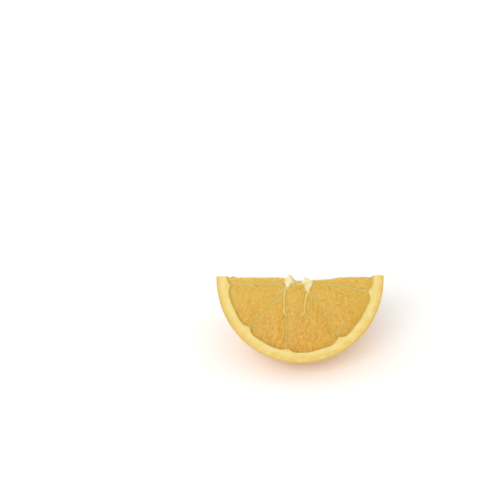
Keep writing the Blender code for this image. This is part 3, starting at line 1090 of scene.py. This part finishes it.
def fibre(corners, widths, height):
    """A closed, flattened fibre along points (across, inward) on the crosswise cut."""
    lengths = lengths_along(corners)
    along = np.linspace(0.0, lengths[-1], steps(lengths[-1], FIBRE_SPACING) + 1)
    middle = np.column_stack([np.interp(along, lengths, corners[:, k]) for k in range(2)])
    for _ in range(3):
        middle[1:-1] = (middle[:-2] + 2.0 * middle[1:-1] + middle[2:]) / 4.0
    half = np.interp(along, lengths, widths) / 2.0
    middle += (0.15 * waves(along[:, None], 2.0, len(corners)))[:, None] * [1.0, 0.3]
    ahead = np.gradient(middle, axis=0)
    ahead /= np.linalg.norm(ahead, axis=1)[:, None]
    aside = np.column_stack([ahead[:, 1], -ahead[:, 0]])
    angle = np.arange(FIBRE_SIDES) * 2.0 * HALF_TURN / FIBRE_SIDES
    rings = []
    for spot, side, size in zip(middle, aside, half):
        flat = spot + np.outer(size * np.cos(angle), side)
        lift = height * min(1.0, size / half.max() + 0.35) * np.sin(angle)
        rings.append(np.column_stack([flat[:, 0], -lift, flat[:, 1]]))
    ends = [rings[0].mean(axis=0), rings[-1].mean(axis=0)]
    points = np.vstack([*rings, *ends])
    first_end = FIBRE_SIDES * len(rings)
    last = first_end - FIBRE_SIDES
    faces = []
    for side in range(FIBRE_SIDES):
        beside = (side + 1) % FIBRE_SIDES
        for ring in range(0, last, FIBRE_SIDES):
            a = ring + side
            b = ring + beside
            faces.append((a, b, b + FIBRE_SIDES, a + FIBRE_SIDES))
        faces.append((first_end, beside, side))
        faces.append((first_end + 1, last + side, last + beside))
    return points, faces


def build_fibres(material):
    """Fibres of pith that run from the core's mouth over the flesh."""
    patches = [fibre(np.array(corners), widths, height) for corners, widths, height in FIBRES]

    def shape(flat):
        lowered = crosswise_height(flat[:, 0], flat[:, 2]) + FIBRE_SINK
        moved = flat.copy()
        moved[:, 1] -= lowered + relief(flat, FIBRE_RELIEF)
        return moved, {}

    return finish_piece("core_strands", patches, shape, material, 80.0)


# ---------------------------------------------------------------- materials


def linear(code):
    """An sRGB hex colour as linear RGBA."""
    parts = [int(code[at : at + 2], 16) / 255.0 for at in (1, 3, 5)]
    return [p / 12.92 if p <= 0.04045 else ((p + 0.055) / 1.055) ** 2.4 for p in parts] + [1.0]


def add(tree, kind, output=None, inputs=None, **settings):
    """Add a node with its settings and links: the socket of an output, or the node."""
    node = tree.nodes.new(kind)
    for key, value in settings.items():
        setattr(node, key, value)
    for key, value in (inputs or {}).items():
        if isinstance(value, bpy.types.NodeSocket):
            tree.links.new(value, node.inputs[key])
        else:
            node.inputs[key].default_value = value
    return node if output is None else node.outputs[output]


def per_metre(size_mm):
    """The scale of a pattern whose humps or cells are that far apart."""
    return 1.0 / (size_mm * METRE_PER_MM)


def start_material(name, *patterns):
    """A new material, its node tree, the place on the fruit and its random patterns.

    Each pattern is (distance between its humps in mm, detail, roughness).
    """
    material = bpy.data.materials.new(name)
    material.use_nodes = True
    tree = material.node_tree
    tree.nodes.clear()
    place = add(tree, "ShaderNodeTexCoord", "Object")
    sockets = [
        add(tree, "ShaderNodeTexNoise", "Fac", {
            "Vector": place, "Scale": per_metre(size_mm), "Detail": detail, "Roughness": rough,
        })
        for size_mm, detail, rough in patterns
    ]
    return material, tree, place, *sockets


def layer_colours(tree, colour, *layers):
    """The socket of a colour that others cover: (other, value, low, high, most)."""
    for other, value, low, high, most in layers:
        share = add(tree, "ShaderNodeMapRange", "Result", {
            "Value": value, "From Min": low, "From Max": high, "To Max": most,
        })
        mixed = {0: share, 6: colour, 7: other}
        colour = add(tree, "ShaderNodeMix", 2, mixed, data_type="RGBA")
    return colour


def finish_material(tree, height, relief_mm, dullness, smoothest, roughest, inputs):
    """Bump, surface and output. The roughness follows the pattern given as dullness."""
    normal = add(tree, "ShaderNodeBump", "Normal", {
        "Height": height, "Distance": relief_mm * METRE_PER_MM,
    })
    roughness = add(tree, "ShaderNodeMapRange", "Result", {
        "Value": dullness, "From Min": 0.3, "From Max": 0.7,
        "To Min": smoothest, "To Max": roughest,
    })
    inputs = dict(inputs, Normal=normal, Roughness=roughness)
    surface = add(tree, "ShaderNodeBsdfPrincipled", "BSDF", inputs)
    add(tree, "ShaderNodeOutputMaterial", None, {"Surface": surface})


def waxed_rind(colours):
    """Living rind under a thin coat of wax: a soft sheen broken up by the oil glands."""
    material, tree, place, patches, specks, grain = start_material(
        "waxed_orange_rind", (14.3, 3.0, 0.5), (1.11, 2.0, 0.5), (0.385, 2.0, 0.5),
    )
    gland = add(tree, "ShaderNodeAttribute", "Fac", attribute_name="pore")
    depth = add(tree, "ShaderNodeAttribute", "Fac", attribute_name="cut_depth")
    colour = layer_colours(
        tree, colours.rind_deep_and_pit_shade,
        (colours.rind, patches, 0.35, 0.65, 1.0),
        (colours.rind_pale, specks, 0.45, 0.75, 0.3),
        # Partly painted shade: the glands' dents are darkened, partly for the glands' own deeper
        # colour and partly as shade in the pits.
        (colours.rind_deep_and_pit_shade, gland, 0.2, 1.0, 0.6),
        # Partly painted shade: the rind's cut face is dulled to olive brown, partly its own cut
        # colour and partly the shade along the skin's edge.
        (colours.rind_cut_and_edge_shade, depth, 0.02, 0.25, 1.0),
        (colours.pith_outer, depth, 0.4, 1.0, 1.0),
    )
    cells = add(tree, "ShaderNodeTexVoronoi", "Distance", {
        "Vector": place, "Scale": per_metre(1.28), "Smoothness": 0.4,
    }, feature="SMOOTH_F1")
    pits = add(tree, "ShaderNodeMapRange", "Result", {
        "Value": cells, "From Min": 0.05, "From Max": 0.45,
    })
    height = add(tree, "ShaderNodeMath", 0, {0: grain, 1: 0.25, 2: pits}, operation="MULTIPLY_ADD")
    finish_material(tree, height, 0.14, patches, 0.42, 0.54, {
        "Base Color": colour,
        "IOR": 1.45,
        "Subsurface Weight": 0.1,
        "Subsurface Radius": (1.0, 0.5, 0.15),
        "Subsurface Scale": 0.0012,
        "Coat Weight": 0.15,
        "Coat Roughness": 0.3,
    })
    return material


def peel_pith(colours):
    """Cut albedo: a dry, spongy, softly lit white, warmer where the rind's oil stained it."""
    material, tree, _, clouds, sponge = start_material(
        "cut_spongy_peel_pith", (3.33, 3.0, 0.5), (0.667, 4.0, 0.65),
    )
    depth = add(tree, "ShaderNodeAttribute", "Fac", attribute_name="pith_depth")
    finish_material(tree, sponge, 0.22, clouds, 0.55, 0.75, {
        "Base Color": layer_colours(
            tree, colours.pith_outer,
            (colours.pith, depth, 0.0, 0.45, 1.0),
            (colours.pith_inner, depth, 0.65, 1.0, 0.7),
            (colours.pith_pale, clouds, 0.4, 0.7, 0.45),
        ),
        "IOR": 1.4,
        "Subsurface Weight": 0.25,
        "Subsurface Radius": (1.0, 0.7, 0.35),
        "Subsurface Scale": 0.002,
    })
    return material


def torn_core_pith(colours):
    """Torn pith of the core: fibrous and the whitest part of the fruit."""
    material, tree, place, clouds = start_material("torn_fibrous_core_pith", (2.38, 3.0, 0.5))
    colour = layer_colours(
        tree, colours.core_pith, (colours.core_pith_pale, clouds, 0.35, 0.65, 1.0),
    )
    stretched = add(tree, "ShaderNodeMapping", "Vector", {
        "Vector": place, "Scale": (1.6, 0.6, 0.6),
    })
    fibres = add(tree, "ShaderNodeTexNoise", "Fac", {
        "Vector": stretched, "Scale": per_metre(0.667), "Detail": 3.0, "Roughness": 0.6,
    })
    finish_material(tree, fibres, 0.2, clouds, 0.5, 0.7, {
        "Base Color": colour,
        "IOR": 1.4,
        "Subsurface Weight": 0.3,
        "Subsurface Radius": (1.0, 0.75, 0.45),
        "Subsurface Scale": 0.002,
    })
    return material


def soaked_fibre(colours):
    """Fibres of pith soaked with juice: a little paler than the flesh they lie on."""
    material, tree, _, clouds, fibres = start_material(
        "juice_soaked_pith_fibre", (2.0, 3.0, 0.5), (0.556, 3.0, 0.6),
    )
    finish_material(tree, fibres, 0.15, clouds, 0.4, 0.55, {
        "Base Color": layer_colours(
            tree, colours.strand, (colours.strand_pale, clouds, 0.3, 0.7, 1.0),
        ),
        "IOR": 1.4,
        "Subsurface Weight": 0.4,
        "Subsurface Radius": (1.0, 0.6, 0.2),
        "Subsurface Scale": 0.002,
    })
    return material


def wet_pulp(colours):
    """Cut juice sacs: clear orange flesh with pale walls, wet with juice and lit from within."""
    material, tree, place, mottle, clouds = start_material(
        "cut_wet_orange_pulp", (1.22, 3.0, 0.65), (8.33, 2.0, 0.5),
    )
    wall, tone, along, aside = [
        add(tree, "ShaderNodeAttribute", "Fac", attribute_name=name) for name in SAC_VALUES
    ]
    # Streaks run along each sac, about 0.7 mm apart, and differ from sac to sac.
    streak_place = add(tree, "ShaderNodeCombineXYZ", "Vector", {
        "X": add(tree, "ShaderNodeMath", 0, {0: along, 1: 0.3}, operation="MULTIPLY"),
        "Y": aside,
        "Z": add(tree, "ShaderNodeMath", 0, {0: tone, 1: 40.0}, operation="MULTIPLY"),
    })
    streaks = add(tree, "ShaderNodeTexNoise", "Fac", {
        "Vector": streak_place, "Scale": 1.5, "Detail": 3.0, "Roughness": 0.6,
    })
    up = add(tree, "ShaderNodeSeparateXYZ", "Z", {"Vector": place})
    colour = layer_colours(
        tree, colours.pulp_deep,
        (colours.pulp, clouds, 0.35, 0.65, 1.0),
        # Painted light: the flesh turns paler with height, standing in for the top of the face
        # being lit more from above.
        (colours.pulp_painted_top_light, up, 0.008, 0.036, 1.0),
        (colours.pulp_edge, up, 0.0345, 0.0375, 0.5),
        (colours.pulp_pale, tone, 0.0, 1.0, 0.5),
        (colours.pulp_pale, streaks, 0.45, 0.7, 0.75),
        (colours.pulp_deep, mottle, 0.5, 0.7, 0.5),
        (colours.sac_wall, wall, 0.1, 1.0, 0.8),
    )
    mixed = {0: mottle, 1: 1.2, 2: streaks}
    height = add(tree, "ShaderNodeMath", 0, mixed, operation="MULTIPLY_ADD")
    finish_material(tree, height, 0.16, mottle, 0.32, 0.5, {
        "Base Color": colour,
        "IOR": 1.36,
        "Subsurface Weight": 0.4,
        "Subsurface Radius": (1.0, 0.45, 0.1),
        "Subsurface Scale": 0.003,
        "Coat Weight": 0.25,
        "Coat Roughness": 0.12,
    })
    return material


def moist_membrane(colours):
    """Thin skin between segments: pale, translucent and slightly moist."""
    material, tree, _, clouds, wrinkles = start_material(
        "moist_segment_membrane", (2.86, 3.0, 0.5), (0.714, 3.0, 0.5),
    )
    dryness = add(tree, "ShaderNodeAttribute", "Fac", attribute_name="dryness")
    finish_material(tree, wrinkles, 0.1, clouds, 0.36, 0.52, {
        "Base Color": layer_colours(
            tree, colours.membrane,
            (colours.membrane_pale, dryness, 0.0, 1.0, 1.0),
            (colours.membrane_pale, clouds, 0.45, 0.7, 0.3),
        ),
        "IOR": 1.4,
        "Subsurface Weight": 0.4,
        "Subsurface Radius": (1.0, 0.6, 0.25),
        "Subsurface Scale": 0.002,
    })
    return material


def matt_table(colours):
    """A matt painted table, almost white, with the faintest unevenness."""
    material, tree, _, clouds, grain = start_material(
        "matt_painted_table", (167.0, 3.0, 0.5), (1.11, 2.0, 0.5),
    )
    finish_material(tree, grain, 0.02, grain, 0.72, 0.82, {
        "Base Color": layer_colours(
            tree, colours.table, (colours.table_pale, clouds, 0.4, 0.6, 1.0),
        ),
        "IOR": 1.45,
    })
    return material


# ---------------------------------------------------------------- settings


def length_setting(name, description, millimetres):
    """A length with a slider, in metres."""
    return bpy.props.FloatProperty(
        name=name,
        description=description,
        default=millimetres * METRE_PER_MM,
        min=0.0,
        precision=5,
        subtype="DISTANCE",
        unit="LENGTH",
    )


def colour_setting(name, description, code):
    """A colour with a picker."""
    return bpy.props.FloatVectorProperty(
        name=name,
        description=description,
        default=linear(code),
        size=4,
        min=0.0,
        max=1.0,
        subtype="COLOR",
    )


class WedgeSizes(bpy.types.PropertyGroup):
    """Sizes of the fine detail."""

    sac_length: length_setting("Sac length", "Length of a juice sac near the rim", 4.6)
    sac_width: length_setting("Sac width", "Width of a juice sac", 1.7)
    sac_relief: length_setting("Sac relief", "How far juice sacs stand out of the cut", 0.1)
    pore_spacing: length_setting("Gland spacing", "Distance between oil glands of the rind", 1.3)
    pore_depth: length_setting("Gland depth", "Depth of the dimple over an oil gland", 0.15)


class WedgeColours(bpy.types.PropertyGroup):
    """Colours of the fruit and of the table."""

    rind: colour_setting("Rind", "Main colour of the rind", "#e4a838")
    # Also darkens the oil glands' dents: partly their own colour, partly painted shade in the
    # pits.
    rind_deep_and_pit_shade: colour_setting("Rind, deep", "Riper patches and glands of the rind", "#d59329")
    rind_pale: colour_setting("Rind, pale", "Pale specks of the rind", "#ecbb5a")
    # Partly the rind's own cut colour, partly painted shade along the skin's edge.
    rind_cut_and_edge_shade: colour_setting("Rind, cut", "Cut edge of the rind", "#c9a44a")
    pith_outer: colour_setting("Pith by the rind", "Pith stained by the rind's oil", "#d9b95e")
    pith: colour_setting("Pith", "Middle of the peel's pith", "#e1c879")
    pith_inner: colour_setting("Pith by the flesh", "Pith wetted by juice", "#dfc170")
    pith_pale: colour_setting("Pith, pale", "Driest spots of the peel's pith", "#ecdaa0")
    core_pith: colour_setting("Core pith", "Pith round the hollow core", "#decb90")
    core_pith_pale: colour_setting("Core pith, pale", "Driest spots of the core's pith", "#ebe3ba")
    pulp: colour_setting("Pulp", "Main colour of the flesh", "#c48715")
    pulp_deep: colour_setting("Pulp, deep", "Clearest, juiciest flesh", "#b8700b")
    pulp_pale: colour_setting("Pulp, pale", "Palest juice sacs", "#d5aa38")
    sac_wall: colour_setting("Sac wall", "Thin walls of the juice sacs", "#dcb955")
    # Painted light: paler flesh towards the top of the cut face, as if lit more from above.
    pulp_painted_top_light: colour_setting("Pulp, upper", "Paler flesh by the upper edge", "#cda939")
    pulp_edge: colour_setting("Pulp, edge", "Flesh dried along the straight edge", "#d6bd78")
    strand: colour_setting("Fibre", "Fibres of pith soaked with juice", "#dcb04a")
    strand_pale: colour_setting("Fibre, pale", "Drier fibres of pith", "#e6c26c")
    membrane: colour_setting("Membrane", "Skin between the segments", "#d8ac48")
    membrane_pale: colour_setting("Membrane, pale", "Thicker spots of the skin", "#e4c67c")
    table: colour_setting("Table", "Colour of the table", "#fafaf9")
    table_pale: colour_setting("Table, pale", "Paler patches of the table", "#fcfcfb")


# ---------------------------------------------------------------- operators


class WEDGE_OT_rind(bpy.types.Operator):
    """Build the rind with its oil glands"""

    bl_idname = "wedge.rind"
    bl_label = "Rind"

    def execute(self, context):
        build_rind(context.scene.wedge_sizes, waxed_rind(context.scene.wedge_colours))
        return {"FINISHED"}


class WEDGE_OT_pith(bpy.types.Operator):
    """Build the spongy pith of the peel"""

    bl_idname = "wedge.pith"
    bl_label = "Pith of the peel"

    def execute(self, context):
        build_pith(peel_pith(context.scene.wedge_colours))
        return {"FINISHED"}


class WEDGE_OT_pulp(bpy.types.Operator):
    """Build the segments of flesh"""

    bl_idname = "wedge.pulp"
    bl_label = "Segments of flesh"

    def execute(self, context):
        material = wet_pulp(context.scene.wedge_colours)
        borders = [None, *range(len(MEMBRANES)), None]
        for number, (left, right) in enumerate(zip(borders[:-1], borders[1:]), 1):
            build_segment(number, left, right, context.scene.wedge_sizes, material)
        return {"FINISHED"}


class WEDGE_OT_membranes(bpy.types.Operator):
    """Build the membranes between the segments"""

    bl_idname = "wedge.membranes"
    bl_label = "Membranes"

    def execute(self, context):
        material = moist_membrane(context.scene.wedge_colours)
        for index in range(len(MEMBRANES)):
            build_membrane(index, material)
        return {"FINISHED"}


class WEDGE_OT_core(bpy.types.Operator):
    """Build the pith round the hollow core and its fibres"""

    bl_idname = "wedge.core"
    bl_label = "Core"

    def execute(self, context):
        build_core_pith(torn_core_pith(context.scene.wedge_colours))
        build_fibres(soaked_fibre(context.scene.wedge_colours))
        return {"FINISHED"}


class WEDGE_OT_stage(bpy.types.Operator):
    """Set up the table, the light and the camera"""

    bl_idname = "wedge.stage"
    bl_label = "Table, light and camera"

    def execute(self, context):
        build_table(matt_table(context.scene.wedge_colours))
        build_lights()
        build_camera()
        return {"FINISHED"}


class WEDGE_PT_panel(bpy.types.Panel):
    """The steps that build the wedge, in order"""

    bl_idname = "WEDGE_PT_panel"
    bl_label = "Orange Wedge"
    bl_space_type = "VIEW_3D"
    bl_region_type = "UI"
    bl_category = "Orange Wedge"

    def draw(self, context):
        for operator in OPERATORS:
            self.layout.operator(operator.bl_idname)
        for group in (context.scene.wedge_sizes, context.scene.wedge_colours):
            for key in group.__annotations__:
                self.layout.prop(group, key)


# ---------------------------------------------------------------- stage


def build_table(material):
    """A plain table top, much larger than the fruit."""
    bpy.ops.mesh.primitive_grid_add(
        x_subdivisions=8, y_subdivisions=8, size=TABLE_SIZE, location=(0.0, 0.0, -TABLE_DROP),
    )
    table = bpy.context.object
    table.name = "table"
    table.data.materials.append(material)


def build_lights():
    """A white room and one large soft lamp above, in front and to the left."""
    world = bpy.data.worlds.new("white_room")
    bpy.context.scene.world = world
    world.use_nodes = True
    background = world.node_tree.nodes["Background"]
    background.inputs["Color"].default_value = (1.0, 1.0, 1.0, 1.0)
    background.inputs["Strength"].default_value = ROOM_STRENGTH
    lamp = bpy.data.lights.new("soft_lamp", "AREA")
    lamp.shape = "DISK"
    lamp.size = LAMP_SIZE
    lamp.energy = LAMP_POWER
    holder = bpy.data.objects.new("soft_lamp", lamp)
    bpy.context.scene.collection.objects.link(holder)
    holder.location = LAMP_PLACE
    holder.rotation_euler = (-Vector(LAMP_PLACE)).to_track_quat("-Z", "Y").to_euler()
    bpy.context.scene.view_settings.view_transform = "Standard"


def build_camera():
    """A camera on the cut side, with the wedge below and to the right of the middle."""
    data = bpy.data.cameras.new("camera")
    data.angle = math.radians(CAMERA_ANGLE_DEG)
    data.clip_start = 0.01
    data.clip_end = 20.0
    camera = bpy.data.objects.new("camera", data)
    bpy.context.scene.collection.objects.link(camera)
    heading = math.radians(CAMERA_HEADING_DEG)
    rise = math.radians(CAMERA_RISE_DEG)
    level = Vector((math.sin(heading), -math.cos(heading), 0.0)) * math.cos(rise)
    back = level + Vector((0.0, 0.0, math.sin(rise)))
    track = (-back).to_track_quat("-Z", "Y").to_matrix()
    roll = Matrix.Rotation(math.radians(CAMERA_ROLL_DEG), 3, "Z")
    turn = Matrix.Rotation(math.radians(CAMERA_TURN_DEG), 3, "Y")
    tilt = Matrix.Rotation(math.radians(CAMERA_TILT_DEG), 3, "X")
    camera.rotation_euler = (track @ roll @ turn @ tilt).to_euler()
    camera.location = Vector(STRAIGHT_EDGE_MIDDLE) + CAMERA_DISTANCE * back
    bpy.context.scene.camera = camera


OPERATORS = (
    WEDGE_OT_rind,
    WEDGE_OT_pith,
    WEDGE_OT_pulp,
    WEDGE_OT_membranes,
    WEDGE_OT_core,
    WEDGE_OT_stage,
)
CLASSES = (WedgeSizes, WedgeColours, *OPERATORS, WEDGE_PT_panel)


def register():
    """Register the settings, the steps and the panel."""
    for entry in CLASSES:
        bpy.utils.register_class(entry)
    bpy.types.Scene.wedge_sizes = bpy.props.PointerProperty(type=WedgeSizes)
    bpy.types.Scene.wedge_colours = bpy.props.PointerProperty(type=WedgeColours)


def unregister():
    """Remove the settings, the steps and the panel."""
    del bpy.types.Scene.wedge_colours
    del bpy.types.Scene.wedge_sizes
    for entry in reversed(CLASSES):
        bpy.utils.unregister_class(entry)


def main():
    """Build the wedge on its table."""
    register()
    bpy.ops.wedge.rind()
    bpy.ops.wedge.pith()
    bpy.ops.wedge.pulp()
    bpy.ops.wedge.membranes()
    bpy.ops.wedge.core()
    bpy.ops.wedge.stage()


if __name__ == "__main__":
    main()
